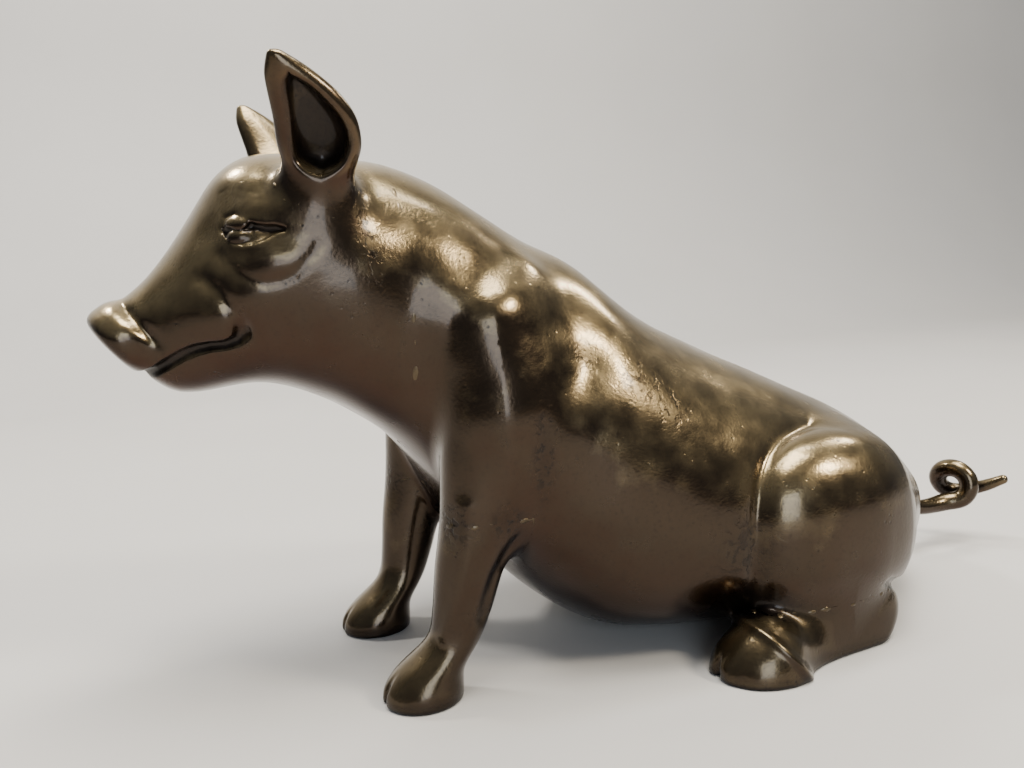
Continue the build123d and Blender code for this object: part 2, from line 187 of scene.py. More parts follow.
haunch_place = np.array([neck - body_length * 0.626, belly * 0.80, nape * 0.242])
haunch_size = np.array([26.0, 17.0, 23.5])
haunch_power = 2.4


def near_side(p):
    """Points folded on to the near side, since both sides of the figure are alike."""
    return np.c_[p[:, 0], np.abs(p[:, 1]), p[:, 2]]


def haunch(p):
    """Distance from the skin of the haunch, a fat round-edged disc set against the belly."""
    q = np.abs(near_side(p) - haunch_place) / haunch_size + 1e-9
    ring = (q ** haunch_power).sum(axis=1) ** (1 / haunch_power)
    return (ring - 1) / np.linalg.norm((q / ring[:, None]) ** (haunch_power - 1) / haunch_size, axis=1)


# Hind leg from toe to heel: place along it, set outward, height and width as shares
hind_stance, hind_hoof_width = 47.5, 19.6
band_place, band_lean, band_scale = 7.6, 0.85, 1.31
hind_rows = [
    (0.000, -0.051, 0.240, 0.306), (0.029, -0.036, 0.560, 0.673), (0.116, 0.000, 0.840, 0.918),
    (0.212, 0.015, 1.020, 1.000), (0.289, 0.010, 0.960, 0.960), (0.360, -0.040, 0.860, 0.820),
    (0.460, -0.130, 0.920, 0.780), (0.600, -0.240, 1.200, 0.860), (0.830, -0.320, 1.450, 0.900),
    (0.925, -0.350, 1.450, 0.860), (1.000, -0.370, 1.400, 0.800),
]
hind_toe, hind_heel = hind_high[0] + 2, hind_low[0] - 1
hind_length = hind_toe - hind_heel
hind_x = [hind_toe - hind_length * row[0] for row in hind_rows]
hind_y = fair(hind_x, [hind_stance + hind_hoof_width * row[1] for row in hind_rows], 1.2)
hind_tall = fair(hind_x, [hind_joint * row[2] for row in hind_rows], 1.2)
hind_wide = fair(hind_x, [hind_hoof_width / 2 * row[3] for row in hind_rows], 1.2)


def ease(x):
    """Soft step from 0 to 1."""
    return 1 / (1 + np.exp(-np.clip(x, -30, 30)))


def hind_leg(p):
    """Distance from the skin of the lower hind leg, with a leaning band above the hoof."""
    tall, wide = lookup(hind_tall, p[:, 0]), lookup(hind_wide, p[:, 0])
    up, aside = p[:, 2] / tall, (np.abs(p[:, 1]) - lookup(hind_y, p[:, 0])) / wide
    ring = np.hypot(up, aside) + 1e-9
    form = (ring - 1) * ring / (np.hypot(up / tall, aside / wide) + 1e-9)
    form = trim(trim(form, p[:, 0] - hind_toe, 1.5), hind_heel - p[:, 0] + 0.07 * (p[:, 2] - 9) ** 2, 5)
    band = (p[:, 0] - hind_toe + band_place + band_lean * (hind_joint - p[:, 2])) / band_scale
    return form - 1.0 * np.exp(-0.5 * (band / 0.9) ** 2) - 0.7 * ease(band / 0.5)


def swell(p, place, spread, height):
    """Soft swelling on both sides, placed from the neck, or a hollow where the height is below zero."""
    q = (near_side(p) - (neck, 0, 0) - place) / spread
    return height * np.exp(-0.5 * (q ** 2).sum(axis=1))


def line_distance(p, points):
    """Distance from a line through points, on both sides of the figure."""
    q = near_side(p)
    nearest = np.full(len(p), 1e9)
    for start, end in zip(points[:-1], points[1:]):
        run = np.array(end) - start
        share = np.clip((q - start) @ run / (run @ run), 0, 1)
        nearest = np.minimum(nearest, np.linalg.norm(q - start - share[:, None] * run, axis=1))
    return nearest


def ripple(p, size, seed):
    """Uneven hand-worked surface, between about -1 and 1, with waves of a size."""
    source = np.random.RandomState(seed)
    total = np.zeros(len(p))
    for wave in range(7):
        way = source.normal(size=3)
        way *= source.uniform(0.7, 1.5) * 2 * np.pi / size / np.linalg.norm(way)
        total += np.sin(p @ way + source.uniform(0, 6.28))
    return total / 2.6


def groove(p, line, depth, width):
    """Groove of a depth and width along a line on both sides, or a ridge where it is taken away."""
    line = np.array(line) + (neck, 0, 0)
    q = near_side(p)
    close = ((q > line.min(axis=0) - 4 * width) & (q < line.max(axis=0) + 4 * width)).all(axis=1)
    cut = np.zeros(len(p))
    cut[close] = depth * np.exp(-0.5 * (line_distance(p[close], line) / width) ** 2)
    return cut


# Lines of the shoulder and legs: ahead of the neck, out from the middle and up from the ground
neck_ridge = [(-14.5, 27.3, 96.7), (-8.3, 28.5, 93.0), (-4.6, 28.3, 86.4)]
blade_ridge = [(-28.1, 24.0, 95.8), (-20.3, 29.9, 89.9), (-13.4, 31.0, 84.0), (-11.1, 30.4, 78.3)]
elbow_line = [(-37.2, 35.1, 74.2), (-34.8, 35.9, 71.8), (-29.4, 36.5, 67.1), (-25.4, 35.6, 61.2),
              (-24.0, 34.9, 57.9), (-24.5, 34.3, 51.0), (-22.5, 33.5, 44.0)]
shin_ridge = [(-7.8, 31.0, 45.2), (-6.6, 31.2, 32.9), (-4.4, 30.6, 23.5), (-0.7, 29.0, 15.0)]
calf_line = [(-19.5, 30.0, 38.0), (-17.0, 30.0, 33.0), (-14.3, 30.2, 28.9), (-12.0, 30.3, 22.9),
             (-11.3, 30.0, 18.9)]
heel_notch = [(-110.0, 47.5, 15.5), (-114.0, 46.0, 14.0), (-117.5, 44.0, 11.8), (-119.0, 40.0, 11.0)]
# Hollow behind the shoulder and dip before the withers: place, spread and height
shoulder_hollow = ((-36, 33, 79), (8.5, 14, 9), -1.5)
withers_dip = ((-15, 29, 97.5), (5, 8, 3.5), -0.9)
# Rough, as-cast skin behind ear and jaw, behind the shoulder, on the flank and by the joints
rough_spots = [
    ((9.5, 22, 112), (1.5, 9, 5), 0.6), ((8, 26, 101), (1.3, 9, 5), 0.6),
    ((-38, 34, 76), (2.0, 9, 2.0), 0.5), ((-24.5, 35, 56), (1.6, 9, 7), 0.9),
    ((-50, 36, 69.5), (3.5, 9, 3.0), 0.6), ((-56.5, 40, 62.5), (3, 9, 2.5), 0.7),
    ((-70, 44, 29), (5, 9, 6), 0.55), ((-5, 30, 41.5), (2.2, 9, 3), 0.7),
    ((-16.5, 32, 41.5), (2.6, 9, 2.6), 0.8), ((-112, 46, 14), (4, 5, 2.5), 0.5),
]


def skin(p):
    """Trunk with the swellings of neck and shoulders, which body and head have in common."""
    form = trunk(p)
    form -= groove(p, neck_ridge, 0.6, 3.8) + groove(p, blade_ridge, 1.2, 3.8)
    form += groove(p, elbow_line, 0.9, 3.6)
    form -= swell(p, *shoulder_hollow) + swell(p, *withers_dip)
    return form - 0.05 * ripple(p, 16, 1)


def body_form(p):
    """Trunk, shoulders, haunches and all four legs in one skin."""
    trunk_skin, thigh, leg = skin(p), haunch(p), foreleg(p)
    leg -= groove(p, shin_ridge, 0.7, 1.5)
    leg += groove(p, calf_line, 1.0, 1.3)
    form = join(trunk_skin, leg, 2 + 11 * np.clip((neck - 2 - p[:, 0]) / 14, 0, 1))
    form = join(form, thigh, 1.6 + 13 * np.clip((neck - 99 - p[:, 0]) / 18, 0, 1))
    crease = np.exp(-0.5 * ((thigh - trunk_skin) / 1.3) ** 2)
    form += 0.7 * crease * np.clip((p[:, 0] - neck + 104) / 12, 0, 1) * np.clip((p[:, 2] - 14) / 8, 0, 1)
    form = join(form, hind_leg(p), 1.5 + 6 * np.clip((p[:, 0] - neck + 112) / 14, 0, 1))
    form += groove(p, heel_notch, 1.2, 1.1)
    return trim(trim(form, body_low[0] - p[:, 0], 4), -p[:, 2], 0.8)


def foreleg_share(p):
    """Below zero in the part of the skin that belongs to a foreleg."""
    return np.maximum(p[:, 2] - leg_joint, foreleg(p) - trunk(p))


def hind_share(p):
    """Below zero in the part of the skin that belongs to a hind leg."""
    return np.maximum(p[:, 2] - hind_joint, hind_leg(p) - trunk(p))


def body_field(p):
    """Body's own share of the skin."""
    cut = np.maximum(p[:, 0] - neck, np.maximum(-foreleg_share(p), -hind_share(p)))
    return np.maximum(body_form(p), cut)


def sculpt(field, low, high, voxel):
    """Closed mesh of a form: corners and four-sided faces."""
    block = 4
    low = np.array(low, float)
    counts = np.ceil((np.array(high) - low) / (voxel * block)).astype(int)
    cells = np.stack(np.meshgrid(*(np.arange(n) for n in counts), indexing="ij"), axis=-1).reshape(-1, 3)
    rough = field(low + (cells + 0.5) * block * voxel)
    values = np.clip(rough, -3 * voxel, 3 * voxel).reshape(counts)
    for axis in range(3):
        values = values.repeat(block, axis=axis)
    near = cells[np.abs(rough) < 2.2 * block * voxel]
    inner = np.stack(np.meshgrid(*[np.arange(block)] * 3, indexing="ij"), axis=-1).reshape(-1, 3)
    points = low + ((near[:, None] * block + inner[None]) + 0.5) * voxel
    fine = field(points.reshape(-1, 3)).reshape(len(near), block, block, block)
    blocks = values.reshape(counts[0], block, counts[1], block, counts[2], block).transpose(0, 2, 4, 1, 3, 5)
    blocks[near[:, 0], near[:, 1], near[:, 2]] = np.clip(fine, -3 * voxel, 3 * voxel)
    grid = openvdb.FloatGrid(3 * voxel)
    grid.copyFromArray(values.astype(np.float32))
    corners, faces = grid.convertToQuads(0.0)
    corners = low + (corners.astype(float) + 0.5) * voxel
    for turn in range(3):
        value, way = field(corners), slope_of(field, corners)
        size = (way ** 2).sum(axis=1)
        corners -= np.clip(value / np.maximum(size, 0.2), -voxel, voxel)[:, None] * way
    return corners, faces


def rough_places(p):
    """Share of rough, as-cast skin at points."""
    return np.clip(sum(swell(p, *spot) for spot in rough_spots), 0, 1)


def slope_of(field, p):
    """Steepest way up of a form at points."""
    small = 0.04
    rises = [field(p + step) - field(p - step) for step in small * np.eye(3)]
    return np.stack(rises, axis=1) / (2 * small)


def casting(name, field, low, high, voxel, skin_form=None, patina_and_shade=None):
    """Piece of cast metal, with how deep each point lies in a recess or close to the ground, on an edge or
    in a rough place; the first darkens it as patina and painted shade.

    skin_form is the whole skin that the piece is a part of, and the last argument adds dark patina and
    painted shade to places.
    """
    skin_form = skin_form or field
    corners, faces = sculpt(field, low, high, voxel)
    mesh = bpy.data.meshes.new(name)
    mesh.from_pydata((corners * mm).tolist(), [], faces.tolist())
    mesh.update()
    mesh.shade_smooth()
    normal = slope_of(skin_form, corners)
    normal /= np.linalg.norm(normal, axis=1)[:, None] + 1e-9
    mesh.normals_split_custom_set_from_vertices(normal.tolist())
    recess_patina_and_shade = np.zeros(len(corners)) if patina_and_shade is None else patina_and_shade(corners)
    # Painted shade: points with little room outside them, in recesses or close to the ground, are darkened,
    # on top of the dark patina in hollows.
    reaches, edge_depth, above_ground = (0.9, 2.8, 8.0), 2.5, 0.5
    for reach in reaches:
        outside = corners + normal * reach
        room = np.minimum(skin_form(outside), outside[:, 2] + above_ground)
        recess_patina_and_shade += np.clip(1 - room / reach, 0, 1) / len(reaches)
    edge = np.clip(1 + skin_form(corners - normal * edge_depth) / edge_depth, 0, 1)
    for label, values in (("recess_patina_and_shade", recess_patina_and_shade), ("edge", edge), ("rough", rough_places(corners))):
        mesh.attributes.new(label, "FLOAT", "POINT").data.foreach_set("value", values.astype(np.float32))
    piece = bpy.data.objects.new(name, mesh)
    bpy.context.collection.objects.link(piece)
    return piece


def add(tree, kind, inputs=(), **settings):
    """Shader node with its settings, and with values or other nodes' outputs on its inputs."""
    made = tree.nodes.new(kind)
    for key, value in settings.items():
        setattr(made, key, value)
    for key, value in dict(inputs).items():
        if isinstance(value, bpy.types.NodeSocket):
            tree.links.new(value, made.inputs[key])
        else:
            made.inputs[key].default_value = value
    return made


def spread(tree, value, low, high, to_low=0.0, to_high=1.0):
    """Value mapped from one range to another."""
    ends = {"From Min": low, "From Max": high, "To Min": to_low, "To Max": to_high}
    return add(tree, "ShaderNodeMapRange", {"Value": value, **ends}).outputs["Result"]


def sums(tree, operation, a, b):
    """Two values put together by an operation."""
    return add(tree, "ShaderNodeMath", {0: a, 1: b}, operation=operation, use_clamp=False).outputs[0]


def mixed(tree, share, first, second):
    """Two colours mixed by a share."""
    return add(tree, "ShaderNodeMix", {0: share, 6: first, 7: second},
               data_type="RGBA", clamp_factor=True).outputs[2]


def patina_with_painted_light(name, top_light_and_worn_gold, brown, underside_shade_red, roughness, pitting):
    """Brown patina on brass under wax, finely pitted and golden on rubbed edges, with painted light golden
    on faces turned up, painted shade dark red on faces turned down, black in recesses as patina and painted
    shade, and darker towards the bottom.
    """
    material = bpy.data.materials.new(name)
    material.use_nodes = True
    tree = material.node_tree
    shader = tree.nodes["Principled BSDF"]
    place = add(tree, "ShaderNodeTexCoord").outputs["Object"]

    def noise(scale, detail):
        made = add(tree, "ShaderNodeTexNoise", {"Vector": place, "Scale": scale, "Detail": detail})
        return made.outputs["Fac"]

    clouds, mottle, grain = noise(32, 3), noise(170, 5), noise(1300, 3)
    cells = add(tree, "ShaderNodeTexVoronoi", {"Vector": place, "Scale": 520, "Randomness": 1.0})
    pits = spread(tree, cells.outputs["Distance"], 0.05, 0.22, 1.0, 0.0)
    pits = sums(tree, "MULTIPLY", pits, spread(tree, mottle, 0.52, 0.66))
    recess_patina_and_shade, edge, rough = (add(tree, "ShaderNodeAttribute", attribute_name=label).outputs["Fac"]
                           for label in ("recess_patina_and_shade", "edge", "rough"))
    facing = add(tree, "ShaderNodeNewGeometry").outputs["Normal"]
    up = add(tree, "ShaderNodeSeparateXYZ", {0: facing}).outputs["Z"]
    # Painted light and shade: the colour follows how far each face turns up, with random cloudy tone mixed
    # in; faces turned down go dark red.
    shade = sums(tree, "ADD", up, spread(tree, clouds, 0.35, 0.65, -0.10, 0.10))
    shade = sums(tree, "ADD", shade, spread(tree, mottle, 0.35, 0.65, -0.08, 0.08))
    colour = mixed(tree, spread(tree, shade, -0.7, 0.0), underside_shade_red, brown)
    height = add(tree, "ShaderNodeSeparateXYZ", {0: place}).outputs["Z"]
    # Painted light: faces turned up go golden, less so towards the bottom.
    painted_top_light = sums(tree, "MULTIPLY", spread(tree, shade, 0.12, 0.95),
                  spread(tree, height, 0.015, 0.075, 0.45, 1.0))
    colour = mixed(tree, painted_top_light, colour, top_light_and_worn_gold)
    colour = mixed(tree, spread(tree, edge, 0.35, 0.9, 0.0, 0.2), colour, top_light_and_worn_gold)
    holes = sums(tree, "MULTIPLY", rough, spread(tree, noise(520, 4), 0.53, 0.60))
    # Painted shade and patina: recesses and places close to the ground go black; fine grain, pits, holes and
    # rough skin darken too.
    dark = sums(tree, "ADD", spread(tree, recess_patina_and_shade, 0.16, 0.62, 0.0, 0.97),
                spread(tree, grain, 0.54, 0.72, 0.0, 0.30))
    dark = sums(tree, "ADD", dark, sums(tree, "MULTIPLY", pits, 0.5))
    dark = sums(tree, "ADD", dark, sums(tree, "MULTIPLY", holes, 0.85))
    dark = sums(tree, "ADD", dark, sums(tree, "MULTIPLY", rough, 0.35))
    # Darker towards the bottom, over the lowest 45 mm.
    dark = sums(tree, "ADD", dark, spread(tree, height, 0.0, 0.045, 0.2, 0.0))
    black = (0.012, 0.008, 0.006, 1)
    colour = mixed(tree, dark, colour, black)
    tree.links.new(colour, shader.inputs["Base Color"])
    dull = sums(tree, "ADD", spread(tree, mottle, 0.3, 0.7, roughness - 0.05, roughness + 0.07),
                spread(tree, recess_patina_and_shade, 0.2, 0.8, 0.0, 0.25))
    dull = sums(tree, "ADD", dull, sums(tree, "MULTIPLY", rough, 0.12))
    tree.links.new(dull, shader.inputs["Roughness"])
    shader.inputs["Metallic"].default_value = 0.92
    shader.inputs["Coat Weight"].default_value = 0.25
    shader.inputs["Coat Roughness"].default_value = 0.10
    relief = sums(tree, "ADD", sums(tree, "MULTIPLY", grain, 0.2), sums(tree, "MULTIPLY", mottle, 0.15))
    relief = sums(tree, "SUBTRACT", relief, sums(tree, "MULTIPLY", pits, pitting))
    relief = sums(tree, "SUBTRACT", relief, sums(tree, "MULTIPLY", holes, 0.8))
    bump = add(tree, "ShaderNodeBump", {"Height": relief, "Strength": 0.35, "Distance": 0.0006})
    tree.links.new(bump.outputs["Normal"], shader.inputs["Normal"])
    return material


# Colours of the patina with painted light: gold on faces turned up and on worn edges, dark red painted shade
# underneath.
cast_patina_and_painted_light = patina_with_painted_light("cast_patina_and_painted_light", top_light_and_worn_gold=(0.42, 0.32, 0.165, 1), brown=(0.041, 0.027, 0.016, 1),
                     underside_shade_red=(0.033, 0.0125, 0.0055, 1), roughness=0.22, pitting=0.4)


def place_piece(piece, node, material):
    """Piece on the figure in the place of its CAD node, with its finish."""
    piece.data.materials.append(material)
    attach(piece, "root")
    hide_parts(node)


body = casting("body_casting", body_field, body_low - 3, body_high + 3, 0.9, body_form)
place_piece(body, "body_shell", cast_patina_and_painted_light)


# Head
# A hollow brass casting of head and snout, on a spigot in the neck of the body. Eyes, lids, folds, mouth and
# nostrils are worked in the wax before casting, and the recesses keep a dark patina with painted shade
# added.
snout_tilt = np.radians(38.5)
snout_face = np.array([np.cos(snout_tilt), 0, -np.sin(snout_tilt)])
snout_down = np.array([-np.sin(snout_tilt), 0, -np.cos(snout_tilt)])
snout_middle = np.array([neck + head_length, 0, crown * 0.73]) + snout_down * 7.9 + snout_face * 1.8
# Lines worked into the face: ahead of the neck, out from the middle and up from the ground
lid_line = [(36.5, 17.3, 107.3), (35.3, 18.3, 107.2), (33.6, 19.6, 106.7), (32.1, 20.3, 107.4),
            (30.7, 20.7, 108.0), (28.6, 21.8, 107.4), (26.6, 22.6, 107.3), (24.8, 23.2, 106.8)]
lower_lid = [(36.5, 17.5, 107.0), (36.1, 18.4, 105.6), (35.0, 19.7, 104.4), (33.3, 20.9, 103.9),
             (31.4, 21.8, 104.0), (29.3, 22.4, 104.7), (27.5, 22.9, 105.6), (24.8, 23.2, 106.8)]
lid_roll = [(36.6, 17.0, 107.8), (35.6, 16.6, 109.6), (33.8, 17.7, 110.0), (32.3, 19.3, 109.1),
            (31.3, 20.2, 108.4)]
eye_bag = [(37.6, 18.6, 102.4), (36.2, 20.0, 100.5), (34.3, 21.3, 98.3), (31.8, 22.3, 96.8),
           (29.3, 23.3, 96.2), (26.6, 24.2, 96.7), (24.1, 24.8, 97.7), (21.9, 25.3, 99.5),
           (19.9, 25.5, 101.5), (18.7, 25.4, 103.5)]
brow_line = [(35.1, 12.1, 114.9), (33.7, 13.3, 115.2), (31.8, 15.3, 115.0), (29.8, 17.3, 114.3),
             (28.5, 18.1, 114.0)]
mouth_line = [(55.2, 0.0, 77.6), (54.8, 5.0, 78.0), (52.0, 9.5, 79.2), (49.1, 12.2, 80.7),
              (46.4, 13.9, 82.2), (43.7, 15.2, 83.3), (40.9, 16.5, 83.9), (38.1, 17.7, 84.0),
              (35.9, 18.7, 84.7), (34.4, 19.8, 86.1)]
lip_line = [(34.6, 20.1, 87.4), (35.3, 20.4, 90.2), (36.8, 20.0, 92.5), (38.8, 19.0, 95.4),
            (41.4, 17.3, 97.5)]
# Swellings of the upper lip, then round the eye and at the corner of the mouth: place, spread and height
lip_swells = [((42.2, 17.2, 90.8), (6.5, 6, 5.0), 1.3), ((38.5, 18.8, 88.6), (3.5, 5, 3.0), 0.8)]
face_swells = [
    ((32.7, 20.6, 105.4), (2.9, 5, 1.6), 0.9), ((33.9, 18.6, 108.5), (1.9, 4, 1.0), 1.0),
    ((29.0, 20.1, 110.8), (5.5, 6, 2.4), 1.0), ((28.6, 23.6, 100.5), (6.0, 7, 2.9), 1.0),
    ((32.5, 22.0, 94.0), (5.0, 6, 2.5), 0.7), ((32.1, 11.3, 118.0), (5.5, 6, 2.6), 0.7),
    ((38.6, 15.0, 106.5), (2.4, 5, 4.0), -0.8), ((34.7, 19.9, 86.6), (1.4, 4, 1.6), -1.3),
]
forehead = ((31, 3, 119), (7, 13, 6), 1.5)
eyeball, eyeball_stretch, eyeball_radius = (32.4, 18.4, 105.3), (1.25, 1, 0.85), 2.9
nostril_out, nostril_stretch, nostril_radius = 4.4, (1.2, 1, 1.2), 2.2


def eye_opening(p):
    """Depth of the almond-shaped opening between the lids."""
    along = p[:, 0] - neck
    upper, lower = (np.interp(along, *np.array(sorted(line))[:, [0, 2]].T) for line in (lid_line, lower_lid))
    inside = np.minimum(upper - p[:, 2], p[:, 2] - lower)
    front, back = lid_line[0][0], lid_line[-1][0]
    inside = np.where((along > back) & (along < front) & (np.abs(p[:, 1]) > 12), inside, -9)
    return 1.1 * ease((inside - 0.15) / 0.22)


def face(p):
    """Head with snout disc, eyes, lids, folds, mouth and nostrils."""
    form = skin(p)
    ahead = (p - snout_middle) @ snout_face
    down = (p - snout_middle) @ snout_down
    form -= sum(swell(p, *lump) for lump in lip_swells)
    form = trim(form, ahead + 1.4, 3)
    disc = trim((np.hypot(p[:, 1] / 12.4, down / 8.2) - 1) * 10.5, np.abs(ahead + 3.6) - 3.6, 3.5)
    form = join(form, disc, 2.5)
    fold = np.exp(-0.5 * (ahead + 8.0) ** 2) * np.clip((7 - down) / 4, 0, 1)
    form += 0.8 * fold * np.clip(down / 3 + 2.2, 0, 1)
    form -= sum(swell(p, *lump) for lump in face_swells)
    form += eye_opening(p) + groove(p, lid_line, 0.7, 0.5) + groove(p, lid_roll, 0.6, 0.6)
    ball = (near_side(p) - (neck, 0, 0) - eyeball) / eyeball_stretch
    form = join(form, np.linalg.norm(ball, axis=1) - eyeball_radius, 0.4)
    form += groove(p, eye_bag, 0.32, 1.0) + groove(p, brow_line, 0.45, 0.4) + groove(p, lip_line, 0.9, 1.4)
    form += groove(p, mouth_line, 2.2, 0.65)
    form -= swell(p, *forehead)
    for side in (-1, 1):
        hole = (p - snout_middle - (0, side * nostril_out, 0)) / nostril_stretch
        form = trim(form, nostril_radius - np.linalg.norm(hole, axis=1), 0.8)
    return form


def face_patina_and_shade(p):
    """Dark patina and painted shade in the mouth, between the lids and under the eyes."""
    patina_and_shade = groove(p, mouth_line, 0.6, 0.9) + 0.3 * eye_opening(p)
    return patina_and_shade + groove(p, lid_line, 0.4, 0.5) + groove(p, eye_bag, 0.15, 0.9)


# Ears
# Two thin cast cups, each with a peg on its root that is let into the head and brazed. The root is dressed
# with a file, so that ear and head run into each other.
def unit(way):
    """Direction of length one."""
    return np.array(way) / np.linalg.norm(way)


def fair_columns(rows, blur):
    """Fair curve for each column of a table over its first."""
    places, *columns = zip(*rows)
    return [fair(places, values, blur) for values in columns]


ear_root = np.array([neck + head_length * 0.271, jowl * 0.676, crown * 0.882])
ear_axis = unit([0.10, 0.42, 0.90])
ear_mouth = np.array([0.30, 0.95, -0.12])
ear_mouth = unit(ear_mouth - ear_mouth @ ear_axis * ear_axis)
ear_back = np.cross(ear_axis, ear_mouth)
# Up the ear: middle behind the axis, half width and half depth
ear_foot, ear_tip = -6, 33.6
ear_rows = [
    (ear_foot, 0.3, 5.5, 5.0), (0, 0.5, 6.0, 5.0), (6.3, 1.0, 6.6, 4.7), (11.5, 1.8, 7.7, 4.3),
    (15, 2.0, 8.5, 3.9), (20.5, 1.55, 8.2, 3.2), (25.3, -0.2, 6.9, 2.7), (29.2, -2.4, 4.9, 2.2),
    (32.2, -4.1, 2.4, 1.6), (33.4, -5.2, 0.9, 0.9),
]
ear_middle, ear_wide, ear_deep = fair_columns(ear_rows, 0.9)
# Hollow of the cup up the ear: middle and half width
cup_foot, cup_top, cup_out, cup_wall = 10.0, 29.0, 4.0, 1.7
cup_rows = [
    (9.4, 2.1, 1.0), (10.6, 2.1, 3.0), (12.6, 2.2, 4.7), (16.5, 2.6, 6.0), (20, 2.05, 5.7),
    (24.0, 0.5, 4.2), (26.5, -0.7, 2.9), (28.5, -1.9, 1.5), (29.5, -2.6, 0.6),
]
cup_middle, cup_wide = fair_columns(cup_rows, 0.9)


def oval(a, b, wide, deep):
    """Distance from an oval with half sizes wide and deep."""
    ring = np.hypot(a / wide, b / deep) + 1e-9
    return (ring - 1) * ring / (np.hypot(a / wide ** 2, b / deep ** 2) + 1e-9)


def ear_places(p):
    """Places up the ear, behind its axis and out through its mouth."""
    q = near_side(p) - ear_root
    return q @ ear_axis, q @ ear_back, q @ ear_mouth


def ear_hollow(p):
    """Distance from the hollow of the cup."""
    up, back, out = ear_places(p)
    deep = cup_out + np.maximum(lookup(ear_deep, up) - cup_wall, 0.2)
    cup = oval(back - lookup(cup_middle, up), out - cup_out, lookup(cup_wide, up), deep)
    return trim(cup, np.maximum(cup_foot - up, up - cup_top), 3)


def ear_form(p):
    """Distance from the skin of the cupped ear."""
    up, back, out = ear_places(p)
    form = oval(back - lookup(ear_middle, up), out, lookup(ear_wide, up), lookup(ear_deep, up))
    form = trim(form, -ear_hollow(p), 2.0)
    return trim(trim(form, ear_foot - up, 1), up - ear_tip, 1)


def cup_patina_and_shade(p):
    """Dark patina and painted shade down in the cup."""
    up, back, out = ear_places(p)
    patina_and_shade = 0.7 * np.clip(1 - np.abs(ear_hollow(p)), 0, 1)
    return patina_and_shade * np.clip((2 - out) / 3, 0, 1) * np.clip((34 - up) / 16, 0, 1)


def head_form(p):
    """Head and ears in one skin."""
    return join(face(p), ear_form(p), 8.0)


def ear_share(p):
    """Below zero in the part of the skin that belongs to an ear."""
    return ear_form(p) - skin(p)


# Castings run under their neighbours by a lap, a hair below the shared skin
lap, shrink = 0.6, 0.02


def head_field(p):
    """Head's own share of the skin."""
    return np.maximum(np.maximum(head_form(p) + shrink, neck - lap - p[:, 0]), -ear_share(p))


def figure(p):
    """Whole skin of the figure on both sides of the neck."""
    return np.where(p[:, 0] < neck, body_form(p), head_form(p))


head_start = np.array([neck + 1, head_low[1], head_low[2]])
head = casting("head_casting", head_field, head_start - 3, head_high + 3, 0.36, figure, face_patina_and_shade)
place_piece(head, "head_shell", cast_patina_and_painted_light)
for side, sign in (("left", 1), ("right", -1)):
    low, high = box_of("ear_" + side)

    def ear_field(p):
        """This ear's own share of the skin."""
        return np.maximum(np.maximum(head_form(p) + shrink, ear_share(p) - lap), -sign * p[:, 1])

    ear = casting("ear_casting_" + side, ear_field, low - 3, high + 3, 0.4, head_form, cup_patina_and_shade)
    place_piece(ear, "ear_" + side, cast_patina_and_painted_light)


# Forelegs
# Two cast brass legs with split hooves, finished as the body is.
# Each has a spigot that goes up into the shoulder, and is brazed all round.
split_width, split_depth = 0.6, 0.9


def hoof_split(p, middle, front, height, reach):
    """Depth of the split in the front of a hoof."""
    across = (np.abs(p[:, 1]) - middle) / split_width
    split = np.exp(-0.5 * across ** 2) * np.clip((height - p[:, 2]) / 4, 0, 1)
    return split_depth * split * np.clip((p[:, 0] - front + reach) / (reach - 1), 0, 1)


def split_foreleg(p):
    """Skin of the figure with the split in the front hooves."""
    return body_form(p) + hoof_split(p, stance, leg_front, 8, 5)


def foreleg_field(p):
    """Forelegs' own share of the skin."""
    return np.maximum(split_foreleg(p) + shrink, foreleg_share(p) - lap)


for side in ("left", "right"):
    low, high = box_of("foreleg_" + side)
    high[2] = leg_joint
    leg = casting("foreleg_casting_" + side, foreleg_field, low - 2, high + 2, 0.6, split_foreleg)
    place_piece(leg, "foreleg_" + side, cast_patina_and_painted_light)


# Hind legs
# Two cast brass lower legs that lie on the ground, with a raised band above the split hoof.
# Each has a spigot that goes into the haunch, and is brazed under it.
hind_split_out = 46.0


def split_hind_leg(p):
    """Skin of the figure with the split in the hind hooves."""
    return body_form(p) + hoof_split(p, hind_split_out, hind_toe, 7, 4)


def hind_field(p):
    """Hind legs' own share of the skin."""
    return np.maximum(split_hind_leg(p) + shrink, hind_share(p) - lap)


for side in ("left", "right"):
    low, high = box_of("hind_leg_" + side)
    high[2] = hind_joint
    leg = casting("hind_leg_casting_" + side, hind_field, low - 3, high + 3, 0.6, split_hind_leg)
    place_piece(leg, "hind_leg_" + side, cast_patina_and_painted_light)


# Tail
# One piece of brass rod, bent into a single turn and tapered to a rounded tip.
# It is let into a hole in the rump and brazed there.
tail_root = np.array([body_low[0], 0.0, nape * body_sides[-1][1]])
turn_axis, turn_side = unit([-0.80, -0.58, 0.15]), unit([-0.58, 0.80, 0.0])
turn_up = np.cross(turn_axis, turn_side)
turn_up *= np.sign(turn_up[2])
turn_middle, turn_radius, turn_pitch = tail_root + (-30, 0, -1), 4.8, 9
# In at the rump and back along the rod, round the turn and out to the tip
tail_points = [tail_root + way for way in ((5, 0, 0), (0, 0, 0), (-5.1, 0.2, -3.0), (-12.9, 1.0, -6.6))]
for share in np.linspace(0, 1, 13):
    angle = share * 2 * np.pi
    ring = turn_side * np.sin(angle) - turn_up * np.cos(angle)
    tail_points.append(turn_middle + ring * turn_radius + turn_axis * (share - 0.5) * turn_pitch)
for out, up in ((5.4, 1.2), (4.5, 1.9), (4.2, 2.1)):
    tail_points.append(tail_points[-1] + turn_side * out + turn_up * up)


